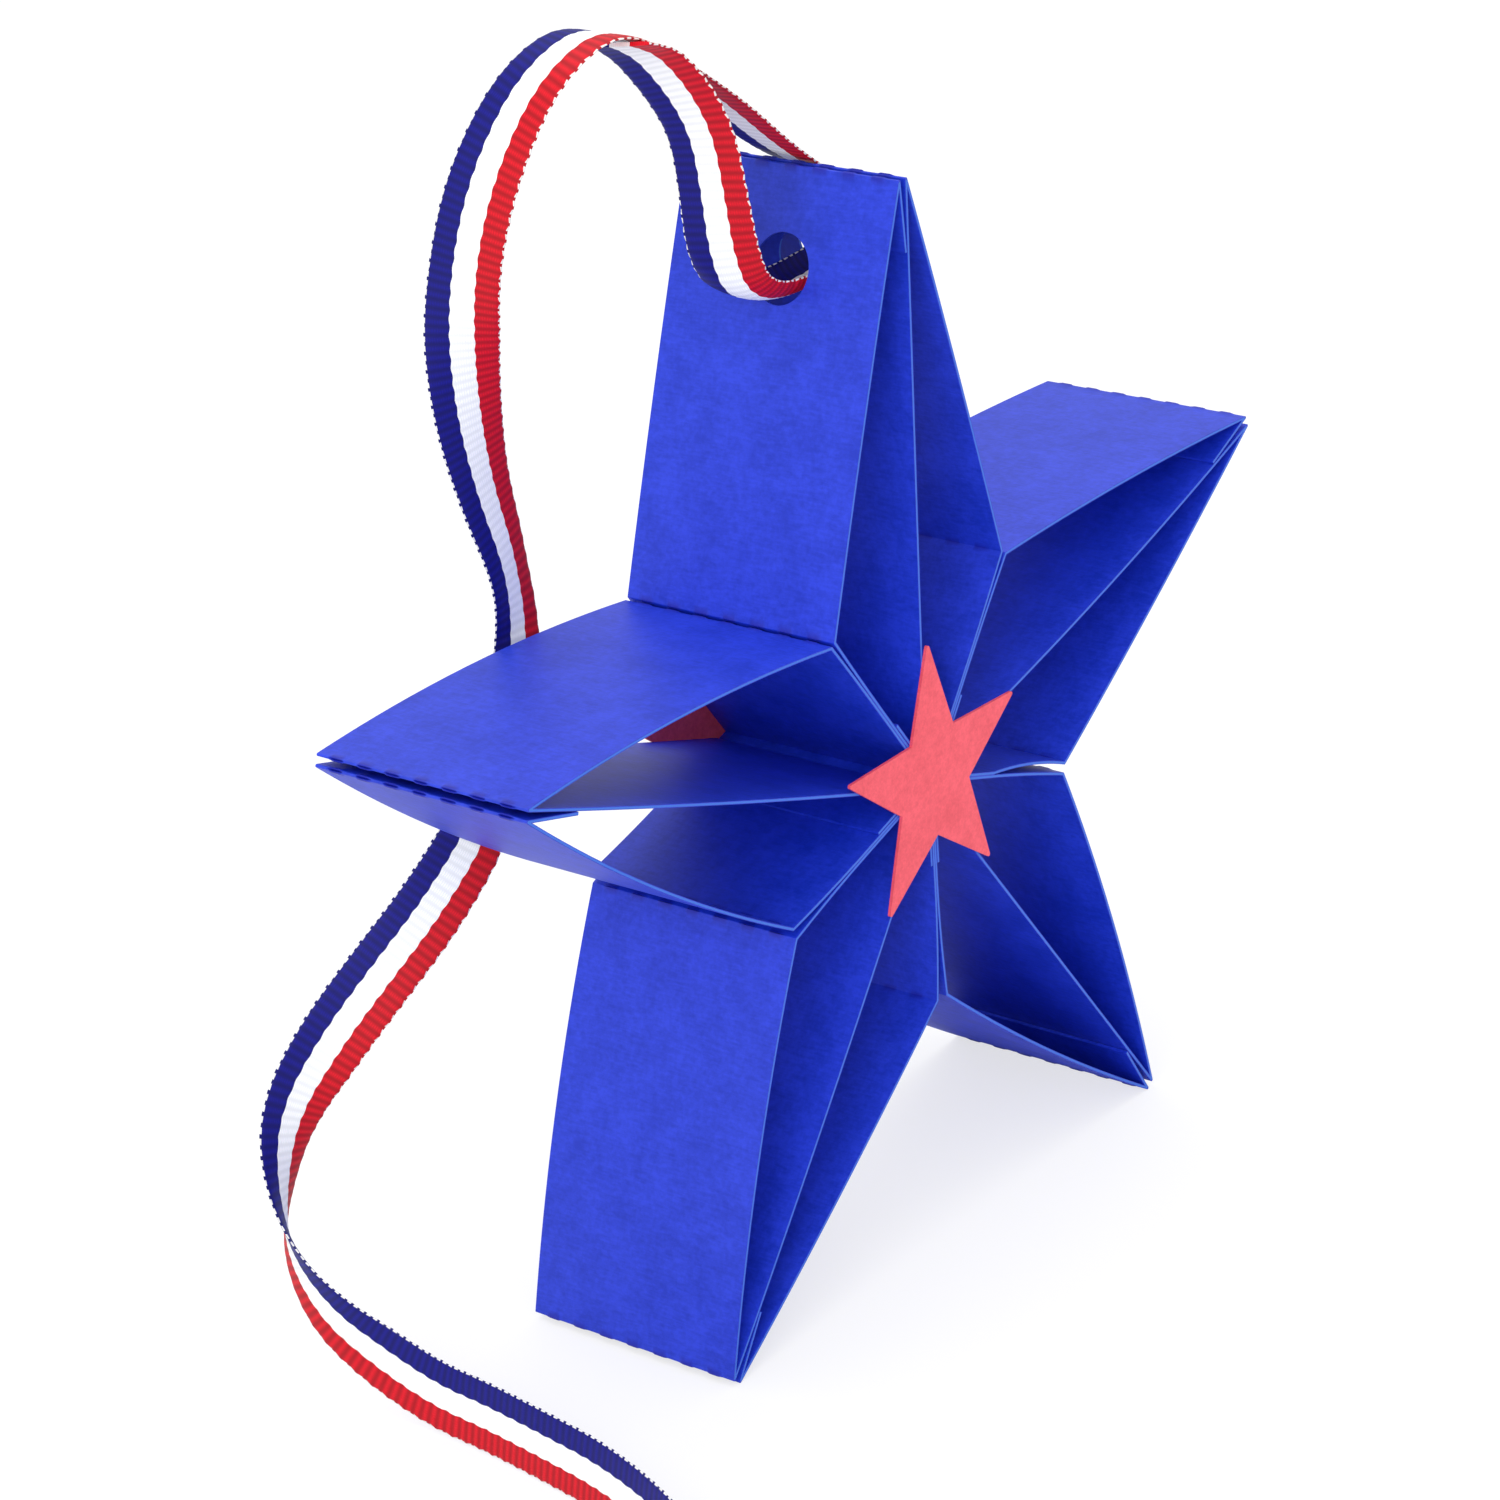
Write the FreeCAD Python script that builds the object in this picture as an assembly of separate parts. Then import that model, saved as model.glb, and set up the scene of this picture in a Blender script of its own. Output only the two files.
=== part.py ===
"""Star box: five folded card arms, two card stars over the joints and a ribbon loop.

Millimetres, Z up. The star faces -Y and stands on its two lower tips at z = 0. Each arm is
one strip of card: tab, middle wall, panel, wall, wall, panel, tab, folded along perforated
lines. Its walls are glued to those of its neighbours.
"""
import FreeCAD
import Part

import math
import os

Vector = FreeCAD.Vector

# Star
TIP_RADIUS = 56.0
NOTCH_RADIUS = 21.64
DEPTH = 23.0
HALF_WEDGE = math.radians(36)

# Card and glue
CARD = 0.3
GLUE_FILM = 0.05
GLUED_WALL = 10.0
TAB = 6.35
FOOT_SHIFT = 1.2
NOSE_SPACING = 0.95

# Perforated folds
SLIT_COUNT = 7
SLIT_PITCH = 3.1
SLIT_LENGTH = 1.4
SLIT_WIDTH = 0.25
NOSE_NOTCH = 0.45

# Punched hole in the top arm
HOLE_DIAMETER = 6.0
HOLE_BELOW_TIP = 9.1
HOLE_FORWARD = 0.5

# Card stars
STAR_TIP_RADIUS = 13.3
STAR_NOTCH_RADIUS = 5.36
STAR_TIP_ROUNDING = 0.2
STAR_SHIFT_X = 0.3
STAR_SHIFT_Z = 0.0

# Ribbon
RIBBON_WIDTH = 6.35
RIBBON_THICKNESS = 0.35
CURL_ANGLE = 2.6
BEND_SHARE = 0.45
BEND_STEP = math.radians(20)
SECTION_STEPS = 4

# The arms, counter-clockwise from the top as seen from the front. An arm's tab side is +1
# where its tabs lie on the counter-clockwise side. Pairs are (clockwise side,
# counter-clockwise side). A bow is the rise of an arc: outwards for a panel, and
# counter-clockwise for the middle wall. A wall leaves its neighbour in a plain arc, and its
# bow is added to that, into the arm. An opening is half of the gap at a notch.
ARMS = [
    {"name": "arm_top", "turn": 90, "tab_side": 1, "tip_reach": -0.6, "tip_lean": -0.75,
     "panel_bow": (0.2, 0.2), "mid_bow": 0.0, "opening": (0.2, 0.15), "wall_bow": (0.0, 0.0)},
    {"name": "arm_upper_left", "turn": 162, "tab_side": 1, "tip_reach": 0.0, "tip_lean": 0.0,
     "panel_bow": (1.1, 1.1), "mid_bow": 0.3, "opening": (0.15, 0.42), "wall_bow": (0.0, 0.0)},
    {"name": "arm_lower_left", "turn": 234, "tab_side": 1, "tip_reach": 0.0, "tip_lean": 0.0,
     "panel_bow": (1.0, 0.4), "mid_bow": 0.4, "opening": (0.42, 0.6), "wall_bow": (0.0, 0.0)},
    {"name": "arm_lower_right", "turn": 306, "tab_side": -1, "tip_reach": 0.0, "tip_lean": 0.0,
     "panel_bow": (0.7, 0.9), "mid_bow": 0.0, "opening": (0.6, 0.37), "wall_bow": (0.0, 0.0)},
    {"name": "arm_upper_right", "turn": 18, "tab_side": 1, "tip_reach": 0.0, "tip_lean": 0.0,
     "panel_bow": (0.3, 0.5), "mid_bow": -0.8, "opening": (0.37, 0.2), "wall_bow": (0.5, 0.0)},
]

# The ribbon's course: place, direction from its navy edge to its red edge, share of curl
RIBBON = [
    ((-21.7, -0.4, 116.9), (0.0, -1.0, 0.1), 0),
    ((-19.5, -0.4, 115.9), (0.15, -0.95, 0.2), 0),
    ((-17.4, -0.5, 114.2), (0.2, -0.95, 0.25), 0),
    ((-14.6, -0.7, 110.8), (0.25, -0.95, 0.2), 0),
    ((-12.4, -0.8, 106.8), (0.2, -1.0, 0.1), 0),
    ((-11.7, -0.9, 101.7), (0.25, -0.95, 0.05), 0),
    ((-11.0, -0.8, 96.2), (0.45, -0.9, 0.1), 0.1),
    ((-9.2, -0.7, 92.0), (0.25, -0.95, 0.25), 0.5),
    ((-4.5, -0.6, 90.2), (0.0, -1.0, 0.0), 1),
    ((4.5, -0.6, 90.6), (0.0, -1.0, 0.0), 1),
    ((9.3, -0.7, 91.9), (0.0, -1.0, 0.0), 0.6),
    ((10.5, -0.4, 95.0), (-0.1, -1.0, 0.1), 0.1),
    ((6.8, 0.7, 98.0), (-0.2, -0.95, -0.05), 0),
    ((0.6, 1.6, 101.8), (-0.05, -1.0, 0.0), 0),
    ((-8.0, 1.4, 108.8), (0.05, -1.0, 0.05), 0),
    ((-17.5, 1.2, 115.7), (0.0, -1.0, 0.0), 0),
    ((-23.2, 1.1, 118.4), (-0.1, -1.0, 0.05), 0),
    ((-27.6, 2.3, 116.8), (-0.25, -0.95, -0.2), 0),
    ((-30.5, 4.3, 112.8), (-0.05, -0.95, -0.35), 0),
    ((-32.7, 6.7, 106.1), (0.2, -0.9, -0.35), 0),
    ((-32.8, 9.2, 98.2), (0.35, -0.9, -0.25), 0),
    ((-30.9, 11.9, 89.1), (0.85, -0.55, 0.1), 0),
    ((-27.8, 13.8, 78.9), (0.95, -0.05, 0.25), 0),
    ((-25.3, 13.4, 69.4), (0.95, 0.25, 0.1), 0),
    ((-25.6, 13.3, 61.7), (1.0, 0.0, -0.2), 0),
    ((-28.2, 13.6, 54.5), (0.9, -0.25, -0.4), 0),
    ((-31.8, 14.1, 47.7), (0.7, -0.4, -0.55), 0),
    ((-37.2, 15.7, 41.8), (0.5, -0.6, -0.65), 0),
    ((-42.1, 17.6, 37.2), (0.35, -0.7, -0.65), 0),
    ((-47.2, 19.5, 32.4), (0.45, -0.6, -0.65), 0),
    ((-51.8, 21.2, 26.9), (0.85, -0.25, -0.5), 0),
    ((-53.8, 21.2, 20.9), (0.9, 0.3, -0.25), 0),
    ((-54.9, 19.9, 14.6), (0.45, 0.8, -0.35), 0),
    ((-54.5, 16.5, 9.4), (0.0, 0.75, -0.65), 0),
    ((-53.0, 12.0, 5.7), (-0.2, 0.45, -0.85), 0),
    ((-52.5, 6.2, 3.5), (-0.2, 0.2, -0.95), 0),
    ((-52.8, 0.2, 3.4), (-0.2, 0.0, -0.95), 0),
    ((-53.7, -6.4, 3.4), (-0.2, 0.0, -1.0), 0),
    ((-55.0, -15.0, 3.4), (-0.2, 0.05, -1.0), 0),
    ((-58.4, -25.0, 3.4), (-0.15, 0.05, -1.0), 0),
    ((-64.4, -35.5, 3.3), (0.0, 0.0, -1.0), 0),
    ((-72.0, -45.0, 3.3), (0.0, 0.0, -1.0), 0),
]


def local(along, across):
    """Point of an arm: along its axis from the star's centre, across counter-clockwise."""
    return Vector(along, 0, across)


def bowed(start, end, rise):
    """Edge from start to end. A positive rise bows it to the left of that direction."""
    if rise == 0:
        return Part.LineSegment(start, end).toShape()
    chord = end - start
    left = Vector(-chord.z, 0, chord.x).normalize()
    return Part.Arc(start, (start + end) / 2 + left * rise, end).toShape()


def wall_points(side, opening):
    """Direction of a wall, the end of its glued stretch and its outer end."""
    direction = local(math.cos(HALF_WEDGE), side * math.sin(HALF_WEDGE))
    inward = local(math.sin(HALF_WEDGE), -side * math.cos(HALF_WEDGE))
    glued_end = direction * GLUED_WALL + inward * (CARD / 2)
    outer_end = direction * NOTCH_RADIUS + inward * (CARD / 2 + opening)
    return direction, glued_end, outer_end


def easing(direction, glued, notch):
    """Rise of the arc in which a wall leaves its glued stretch without a kink."""
    chord = notch - glued
    return chord.Length / 2 * math.tan(chord.getAngle(direction) / 2)


def slit_row(before, fold, after, reach):
    """Slits along a fold, from outside the card to the reach on the fold's inner side."""
    outward = ((fold - before).normalize() + (fold - after).normalize()).normalize()
    angle = math.degrees(math.atan2(outward.z, outward.x))
    slits = []
    for index in range(SLIT_COUNT):
        middle = (index - (SLIT_COUNT - 1) / 2) * SLIT_PITCH
        corner = Vector(-reach, middle - SLIT_LENGTH / 2, -SLIT_WIDTH / 2)
        slit = Part.makeBox(reach + CARD, SLIT_LENGTH, SLIT_WIDTH, corner)
        slit.rotate(Vector(0, 0, 0), Vector(0, -1, 0), angle)
        slit.translate(fold)
        slits.append(slit)
    return slits


def make_arm(arm):
    """One arm: the folded strip, with its slits cut, turned to its place in the star."""
    tab_side = arm["tab_side"]
    lower_direction, lower_glued, lower_notch = wall_points(-1, arm["opening"][0])
    upper_direction, upper_glued, upper_notch = wall_points(1, arm["opening"][1])
    lower_wall_bow = arm["wall_bow"][0] - easing(lower_direction, lower_glued, lower_notch)
    upper_wall_bow = arm["wall_bow"][1] - easing(upper_direction, upper_glued, upper_notch)
    centre = local(CARD / 2 / math.sin(HALF_WEDGE), 0)

    lean = math.radians(arm["tip_lean"])
    reach = TIP_RADIUS + arm["tip_reach"] - CARD / 2
    tip = local(reach * math.cos(lean), reach * math.sin(lean))
    lower_nose = tip - local(0, NOSE_SPACING / 2)
    upper_nose = tip + local(0, NOSE_SPACING / 2)

    # The half of the strip on the tab side, then the other half
    if tab_side > 0:
        direction, glued, notch, nose = upper_direction, upper_glued, upper_notch, upper_nose
        far_glued, far_notch, far_nose = lower_glued, lower_notch, lower_nose
        bow, far_bow = arm["panel_bow"][1], arm["panel_bow"][0]
        wall_bow, far_wall_bow = upper_wall_bow, lower_wall_bow
    else:
        direction, glued, notch, nose = lower_direction, lower_glued, lower_notch, lower_nose
        far_glued, far_notch, far_nose = upper_glued, upper_notch, upper_nose
        bow, far_bow = arm["panel_bow"][0], arm["panel_bow"][1]
        wall_bow, far_wall_bow = lower_wall_bow, upper_wall_bow

    # The foot tab lies on the wall of the tab side, the tip tab on the middle wall
    layer = CARD + GLUE_FILM
    foot_corner = centre + local(layer / math.sin(HALF_WEDGE), 0)
    foot = foot_corner + direction * FOOT_SHIFT
    foot_tab_end = foot + direction * TAB
    share = TAB / (far_nose - foot).Length
    along = (foot - far_nose).normalize()
    across = Vector(-along.z, 0, along.x) * -tab_side
    sag = 4 * arm["mid_bow"] * tab_side * share * (1 - share)
    tip_tab_end = far_nose + along * TAB + across * (layer + sag)

    edges = [
        bowed(foot_tab_end, foot, 0),
        bowed(foot, far_nose, arm["mid_bow"]),
        bowed(far_nose, far_notch, tab_side * far_bow),
        bowed(far_notch, far_glued, tab_side * -far_wall_bow),
        bowed(far_glued, centre, 0),
        bowed(centre, glued, 0),
        bowed(glued, notch, tab_side * -wall_bow),
        bowed(notch, nose, tab_side * bow),
        bowed(nose, tip_tab_end, 0),
    ]
    outline = Part.Wire(edges).makeOffset2D(CARD / 2, 0, False, False, False)
    solid = Part.Face(outline).extrude(Vector(0, DEPTH, 0))
    solid.translate(Vector(0, -DEPTH / 2, 0))

    # The perforated folds: both noses and both notches
    nose_reach = NOSE_NOTCH - CARD / 2
    cuts = slit_row(notch, nose, tip_tab_end, nose_reach)
    cuts += slit_row(foot, far_nose, far_notch, nose_reach)
    cuts += slit_row(glued, notch, nose, CARD)
    cuts += slit_row(far_glued, far_notch, far_nose, CARD)
    solid = solid.cut(Part.makeCompound(cuts)).Solids[0]
    solid.rotate(Vector(0, 0, 0), Vector(0, -1, 0), arm["turn"])
    return solid


def punch_hole(solid):
    """The round hole for the ribbon, punched sideways through all the layers of an arm."""
    start = Vector(-NOTCH_RADIUS, -HOLE_FORWARD, TIP_RADIUS - HOLE_BELOW_TIP)
    punch = Part.makeCylinder(HOLE_DIAMETER / 2, 2 * NOTCH_RADIUS, start, Vector(1, 0, 0))
    return solid.cut(punch).Solids[0]


def make_card_star(inner_y):
    """A five-pointed card star lying outside the plane y = inner_y."""
    corners = []
    for index in range(10):
        radius = STAR_TIP_RADIUS if index % 2 == 0 else STAR_NOTCH_RADIUS
        angle = math.radians(90 + 36 * index)
        corners.append(Vector(STAR_SHIFT_X + radius * math.cos(angle), inner_y,
                              STAR_SHIFT_Z + radius * math.sin(angle)))
    outline = Part.makePolygon(corners + corners[:1])
    star = Part.Face(outline).extrude(Vector(0, math.copysign(CARD, inner_y), 0))
    tips = []
    for edge in star.Edges:
        middle = edge.CenterOfMass - Vector(STAR_SHIFT_X, inner_y, STAR_SHIFT_Z)
        if edge.Length < 2 * CARD and math.hypot(middle.x, middle.z) > STAR_NOTCH_RADIUS + CARD:
            tips.append(edge)
    return star.makeFillet(STAR_TIP_ROUNDING, tips).Solids[0]


def ribbon_stations():
    """Places along the ribbon: straight runs joined by tangent arcs, with width and curl."""
    points = [Vector(*row[0]) for row in RIBBON]
    widths = [Vector(*row[1]) for row in RIBBON]
    curls = [row[2] for row in RIBBON]
    stations = [(points[0], (points[1] - points[0]).normalize(), widths[0], curls[0])]
    length = 0
    last = points[0]
    for index in range(1, len(points) - 1):
        here = points[index]
        back = points[index - 1] - here
        ahead = points[index + 1] - here
        turn = math.pi - back.getAngle(ahead)
        inset = BEND_SHARE * min(back.Length, ahead.Length)
        radius = inset / math.tan(turn / 2)
        print("ribbon bend %d: radius %.1f mm" % (index, radius))
        back.normalize()
        ahead.normalize()
        hub = here + (back + ahead).normalize() * (radius / math.cos(turn / 2))
        start = here + back * inset
        length += (start - last).Length + radius * turn
        last = here + ahead * inset
        axis = ahead.cross(back).normalize()
        steps = 1 + math.ceil(turn / BEND_STEP)
        for step in range(steps + 1):
            spin = FreeCAD.Rotation(axis, math.degrees(turn) * step / steps)
            place = hub + spin.multVec(start - hub)
            share = (step / steps - 0.5) * BEND_SHARE
            other = index + 1 if share > 0 else index - 1
            width = widths[index] * (1 - abs(share)) + widths[other] * abs(share)
            curl = curls[index] * (1 - abs(share)) + curls[other] * abs(share)
            stations.append((place, spin.multVec(back * -1), width, curl))
    tail = (points[-1] - points[-2]).normalize()
    stations.append((points[-1], tail, widths[-1], curls[-1]))
    return stations, length + (points[-1] - last).Length


def ribbon_section(place, tangent, width, curl):
    """Closed outline of the ribbon at one station, flat or curled up about its course."""
    width = (width - tangent * width.dot(tangent)).normalize()
    lift = width.cross(tangent)
    outer = []
    inner = []
    for step in range(SECTION_STEPS + 1):
        share = step / SECTION_STEPS - 0.5
        angle = share * CURL_ANGLE * curl
        if curl > 0:
            radius = RIBBON_WIDTH / (CURL_ANGLE * curl)
            across = radius * math.sin(angle)
            rise = radius * (1 - math.cos(angle))
        else:
            across = share * RIBBON_WIDTH
            rise = 0
        point = place + width * across + lift * rise
        normal = lift * math.cos(angle) - width * math.sin(angle)
        outer.append(point - normal * (RIBBON_THICKNESS / 2))
        inner.append(point + normal * (RIBBON_THICKNESS / 2))
    corners = outer + inner[::-1]
    return Part.makePolygon(corners + corners[:1])


def make_ribbon():
    """The ribbon as a ruled band through its stations."""
    stations, length = ribbon_stations()
    sections = [ribbon_section(*station) for station in stations]
    band = Part.makeLoft(sections, True, True)
    expected = RIBBON_WIDTH * RIBBON_THICKNESS * length
    print("ribbon length %.1f mm, volume %.1f of %.1f mm3" % (length, band.Volume, expected))
    return band


def main():
    """Makes every piece, stands the star on its lower tips and writes the files."""
    pieces = {arm["name"]: make_arm(arm) for arm in ARMS}
    pieces["arm_top"] = punch_hole(pieces["arm_top"])
    pieces["front_star"] = make_card_star(-DEPTH / 2)
    pieces["back_star"] = make_card_star(DEPTH / 2)
    lift = -min(pieces[arm["name"]].optimalBoundingBox().ZMin for arm in ARMS)
    print("star centre at z = %.2f mm" % lift)
    for solid in pieces.values():
        solid.translate(Vector(0, 0, lift))
    pieces["ribbon"] = make_ribbon()

    os.makedirs("parts", exist_ok=True)
    for name, solid in pieces.items():
        print(name, solid.ShapeType, solid.isValid(), round(solid.Volume, 1), len(solid.Faces))
        solid.exportStep("parts/%s.step" % name)


main()
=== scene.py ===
"""Dresses the star box of folded card: its card, its ribbon, the floor, the light and the camera."""
import math

import bmesh
import bpy
import numpy as np
from mathutils import Matrix, Vector


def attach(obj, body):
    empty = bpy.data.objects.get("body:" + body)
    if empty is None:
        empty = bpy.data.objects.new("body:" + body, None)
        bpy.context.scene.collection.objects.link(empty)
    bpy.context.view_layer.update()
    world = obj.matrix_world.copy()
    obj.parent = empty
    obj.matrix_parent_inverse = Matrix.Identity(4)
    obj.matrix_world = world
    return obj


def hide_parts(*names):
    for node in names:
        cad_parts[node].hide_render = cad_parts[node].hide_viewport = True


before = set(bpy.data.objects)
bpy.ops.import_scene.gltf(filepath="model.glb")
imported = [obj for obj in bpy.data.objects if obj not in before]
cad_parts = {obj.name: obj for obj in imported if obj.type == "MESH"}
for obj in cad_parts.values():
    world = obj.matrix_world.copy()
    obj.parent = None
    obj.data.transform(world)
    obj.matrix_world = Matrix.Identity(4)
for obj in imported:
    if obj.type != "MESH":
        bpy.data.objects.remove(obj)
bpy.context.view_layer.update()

bl_info = {
    "name": "Card Star Box",
    "version": (1, 0, 0),
    "blender": (4, 5, 0),
    "location": "View3D > Sidebar > Star Box",
    "description": "Builds the look of an open star of folded card with a striped ribbon",
    "category": "Object",
}

MM = 0.001
CARD_STARS = ["front_star", "back_star"]

# The folded strips, in mm, as in the part's source
CENTRE_HEIGHT = 45.61
TIP_RADIUS = 56.0
NOTCH_RADIUS = 21.64
DEPTH = 23.0
HALF_WEDGE = math.radians(36)
CARD = 0.3
GLUE_FILM = 0.05
GLUED_WALL = 10.0
TAB = 6.35
FOOT_SHIFT = 1.2
NOSE_SPACING = 0.95
SLIT_PITCH = 3.1
SLIT_LENGTH = 1.4
HOLE_RADIUS = 3.0
HOLE_BELOW_TIP = 9.1
HOLE_FORWARD = 0.5

# Rows in the fan of a fold, the folds with slits, columns over the depth, how far the outside
# swells at a slit and sinks at its crown, and reach of the swelling and of the painted crease shade
FAN = 9
PERFORATED = (2, 3, 7, 8)
COLUMNS = 93
SLIT_SWELL = 0.09
SLIT_GROOVE = 0.3
SWELL_REACH = 0.4
CREASE_SHADE_REACH = 0.3

# Name, turn, tab side, reach and lean of the tip, bows of the panels, bow of the middle wall,
# half gaps at the two notches and bows of the walls, each pair with the clockwise side first
ARMS = [
    ("arm_top", 90, 1, -0.6, -0.75, (0.2, 0.2), 0.0, (0.2, 0.15), (0.0, 0.0)),
    ("arm_upper_left", 162, 1, 0.0, 0.0, (1.1, 1.1), 0.3, (0.15, 0.42), (0.0, 0.0)),
    ("arm_lower_left", 234, 1, 0.0, 0.0, (1.0, 0.4), 0.4, (0.42, 0.6), (0.0, 0.0)),
    ("arm_lower_right", 306, -1, 0.0, 0.0, (0.7, 0.9), 0.0, (0.6, 0.37), (0.0, 0.0)),
    ("arm_upper_right", 18, 1, 0.0, 0.0, (0.3, 0.5), -0.8, (0.37, 0.2), (0.5, 0.0)),
]
CENTRE = Vector((0.0, 0.0, CENTRE_HEIGHT * MM))

# Camera, from the star's corners in the photograph
CAMERA_AZIMUTH = math.radians(-50.36)
CAMERA_ELEVATION = math.radians(23.08)
CAMERA_ROLL = math.radians(-4.09)
CAMERA_DISTANCE = 415.7 * MM
CAMERA_AIM = (7.09 * MM, -0.48 * MM)
SENSOR = 36.0
LENS = 109.9

# The ribbon's course, from its glued end through the hole, over the tip and down the left
# side to the floor: place in mm, direction from its navy edge to its red edge, share of curl
RIBBON = [
    ((-21.7, -0.4, 116.9), (0.0, -1.0, 0.1), 0),
    ((-19.5, -0.4, 115.9), (0.15, -0.95, 0.2), 0),
    ((-17.4, -0.5, 114.2), (0.2, -0.95, 0.25), 0),
    ((-14.6, -0.7, 110.8), (0.25, -0.95, 0.2), 0),
    ((-12.4, -0.8, 106.8), (0.2, -1.0, 0.1), 0),
    ((-11.7, -0.9, 101.7), (0.25, -0.95, 0.05), 0),
    ((-11.0, -0.8, 96.2), (0.45, -0.9, 0.1), 0.1),
    ((-9.2, -0.7, 92.0), (0.25, -0.95, 0.25), 0.5),
    ((-4.5, -0.6, 90.2), (0.0, -1.0, 0.0), 1),
    ((4.5, -0.6, 90.6), (0.0, -1.0, 0.0), 1),
    ((9.3, -0.7, 91.9), (0.0, -1.0, 0.0), 0.6),
    ((10.5, -0.4, 95.0), (-0.1, -1.0, 0.1), 0.1),
    ((6.8, 0.7, 98.0), (-0.2, -0.95, -0.05), 0),
    ((0.6, 1.6, 101.8), (-0.05, -1.0, 0.0), 0),
    ((-8.0, 1.4, 108.8), (0.05, -1.0, 0.05), 0),
    ((-17.5, 1.2, 115.7), (0.0, -1.0, 0.0), 0),
    ((-23.2, 1.1, 118.4), (-0.1, -1.0, 0.05), 0),
    ((-27.6, 2.3, 116.8), (-0.25, -0.95, -0.2), 0),
    ((-30.5, 4.3, 112.8), (-0.05, -0.95, -0.35), 0),
    ((-32.7, 6.7, 106.1), (0.2, -0.9, -0.35), 0),
    ((-32.8, 9.2, 98.2), (0.35, -0.9, -0.25), 0),
    ((-30.9, 11.9, 89.1), (0.85, -0.55, 0.1), 0),
    ((-27.8, 13.8, 78.9), (0.95, -0.05, 0.25), 0),
    ((-25.3, 13.4, 69.4), (0.95, 0.25, 0.1), 0),
    ((-25.6, 13.3, 61.7), (1.0, 0.0, -0.2), 0),
    ((-28.2, 13.6, 54.5), (0.9, -0.25, -0.4), 0),
    ((-31.8, 14.1, 47.7), (0.7, -0.4, -0.55), 0),
    ((-37.2, 15.7, 41.8), (0.5, -0.6, -0.65), 0),
    ((-42.1, 17.6, 37.2), (0.35, -0.7, -0.65), 0),
    ((-47.2, 19.5, 32.4), (0.45, -0.6, -0.65), 0),
    ((-51.8, 21.2, 26.9), (0.85, -0.25, -0.5), 0),
    ((-53.8, 21.2, 20.9), (0.9, 0.3, -0.25), 0),
    ((-54.9, 19.9, 14.6), (0.45, 0.8, -0.35), 0),
    ((-54.5, 16.5, 9.4), (0.0, 0.75, -0.65), 0),
    ((-53.0, 12.0, 5.7), (-0.2, 0.45, -0.85), 0),
    ((-52.5, 6.2, 3.5), (-0.2, 0.2, -0.95), 0),
    ((-52.8, 0.2, 3.4), (-0.2, 0.0, -0.95), 0),
    ((-53.7, -6.4, 3.4), (-0.2, 0.0, -1.0), 0),
    ((-55.0, -15.0, 3.4), (-0.2, 0.05, -1.0), 0),
    ((-58.4, -25.0, 3.4), (-0.15, 0.05, -1.0), 0),
    ((-64.4, -35.5, 3.3), (0.0, 0.0, -1.0), 0),
    ((-72.0, -45.0, 3.3), (0.0, 0.0, -1.0), 0),
]
CURL_ANGLE = 2.6

# Painted shade between the ribs on the coloured stripes and on the white one, gain of the painted highlight
# dashes
STRIPE_GROOVE_SHADE = 0.35
WHITE_GROOVE_SHADE = 0.04
GLINT = 1.5


# Node helpers

def new_material(name):
    """An empty node material with its shader and output. Returns it, its tree and the shader."""
    material = bpy.data.materials.new(name)
    material.use_nodes = True
    tree = material.node_tree
    return material, tree, tree.nodes["Principled BSDF"]


def add(tree, kind, inputs=None, **settings):
    """Adds a node, sets its properties and fills or links its inputs by name or number."""
    node = tree.nodes.new(kind)
    for name, value in settings.items():
        setattr(node, name, value)
    for key, value in (inputs or {}).items():
        socket = node.inputs[key]
        if isinstance(value, bpy.types.NodeSocket):
            tree.links.new(value, socket)
        else:
            socket.default_value = value
    return node


def maths(tree, operation, first, second=0.0, third=0.0):
    """Result of one maths node."""
    node = add(tree, "ShaderNodeMath", {0: first, 1: second, 2: third}, operation=operation)
    return node.outputs[0]


def blend(tree, factor, first, second, mode="MIX"):
    """Result of one colour mix."""
    node = add(tree, "ShaderNodeMix", data_type="RGBA", blend_type=mode)
    for socket, value in ((node.inputs[0], factor), (node.inputs[6], first), (node.inputs[7], second)):
        if isinstance(value, bpy.types.NodeSocket):
            tree.links.new(value, socket)
        else:
            socket.default_value = value
    return node.outputs[2]


def noise(tree, vector, scale, detail=3.0, roughness=0.6):
    """Grey value of a noise texture."""
    node = add(tree, "ShaderNodeTexNoise", {"Vector": vector, "Scale": scale, "Detail": detail,
                                            "Roughness": roughness})
    return node.outputs["Fac"]


def ramp(tree, value, stops):
    """Grey value run through straight stretches between the given stops."""
    node = add(tree, "ShaderNodeValToRGB", {0: value})
    elements = node.color_ramp.elements
    while len(elements) < len(stops):
        elements.new(0.5)
    for element, (position, grey) in zip(elements, stops):
        element.position = position
        element.color = (grey, grey, grey, 1)
    return node.outputs[0]


def put_mesh(name, vertices, faces, material, smooth=True, angle=40.0):
    """A new piece from arrays of vertices and quads, smooth but for edges sharper than the angle."""
    mesh = bpy.data.meshes.new(name)
    mesh.from_pydata(vertices.tolist(), [], faces.tolist())
    mesh.validate()
    mesh.materials.append(material)
    if smooth:
        mesh.shade_smooth()
        mesh.set_sharp_from_angle(angle=math.radians(angle))
    piece = bpy.data.objects.new(name, mesh)
    bpy.context.scene.collection.objects.link(piece)
    return piece


# Materials

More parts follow.
